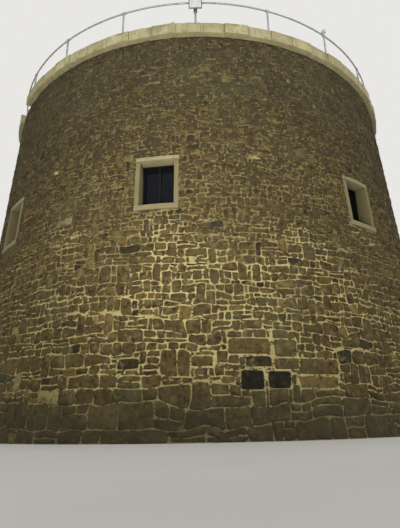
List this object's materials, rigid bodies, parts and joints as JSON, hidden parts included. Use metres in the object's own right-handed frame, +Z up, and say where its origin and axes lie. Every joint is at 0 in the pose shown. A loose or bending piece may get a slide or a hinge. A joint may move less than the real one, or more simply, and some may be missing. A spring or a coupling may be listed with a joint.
{
  "type": "martello tower",
  "caption": "Round battered martello tower of rubble stone with a dressed coping, framed windows, a raised rear doorway, a vaulted roof platform and a guard rail",
  "frame": {"origin": "on the tower's axis, at ground level", "axes": "+Z up, -Y toward the side that the picture shows, +X to its right"},
  "size_m": [12.7996, 12.7996, 10.2538],
  "materials": {
    "rubble_stone": "rough split stone in brown and olive grey, with wide pale lime mortar joints",
    "dressed_stone": "worn dressed stone in pale buff, streaked with grey",
    "paving_stone": "worn flagstones, grey buff",
    "floor_boards": "worn timber boards",
    "casement_paint": "weathered dark paint on timber",
    "window_glass": "dark glass",
    "door_paint": "weathered dark brown planks",
    "rail_steel": "dull galvanised steel",
    "lamp_housing": "weathered pale enamel",
    "flood_lamp_housing": "weathered grey enamel"
  },
  "bodies": {
    "root": {"lower_wall_front": "rubble_stone", "lower_wall_front_right": "rubble_stone", "lower_wall_right": "rubble_stone", "lower_wall_rear_right": "rubble_stone", "lower_wall_rear": "rubble_stone", "lower_wall_rear_left": "rubble_stone", "lower_wall_left": "rubble_stone", "lower_wall_front_left": "rubble_stone", "window_piers": "rubble_stone", "upper_wall_front": "rubble_stone", "upper_wall_front_right": "rubble_stone", "upper_wall_right": "rubble_stone", "upper_wall_rear_right": "rubble_stone", "upper_wall_rear": "rubble_stone", "upper_wall_rear_left": "rubble_stone", "upper_wall_left": "rubble_stone", "upper_wall_front_left": "rubble_stone", "parapet_front": "rubble_stone", "parapet_front_right": "rubble_stone", "parapet_right": "rubble_stone", "parapet_rear_right": "rubble_stone", "parapet_rear": "rubble_stone", "parapet_rear_left": "rubble_stone", "parapet_left": "rubble_stone", "parapet_front_left": "rubble_stone", "coping_front": "dressed_stone", "coping_right": "dressed_stone", "coping_rear": "dressed_stone", "coping_left": "dressed_stone", "first_floor": "floor_boards", "roof_vault": "rubble_stone", "roof_platform": "paving_stone", "sill_stones": "dressed_stone", "jamb_stones": "dressed_stone", "lintel_stones": "dressed_stone", "casement_stiles": "casement_paint", "casement_rails": "casement_paint", "window_glass": "window_glass", "door_leaf": "door_paint", "guard_rail": "rail_steel", "rail_posts": "rail_steel", "rail_lamps": "lamp_housing", "flood_lamp": "flood_lamp_housing"}
  },
  "joints": []
}
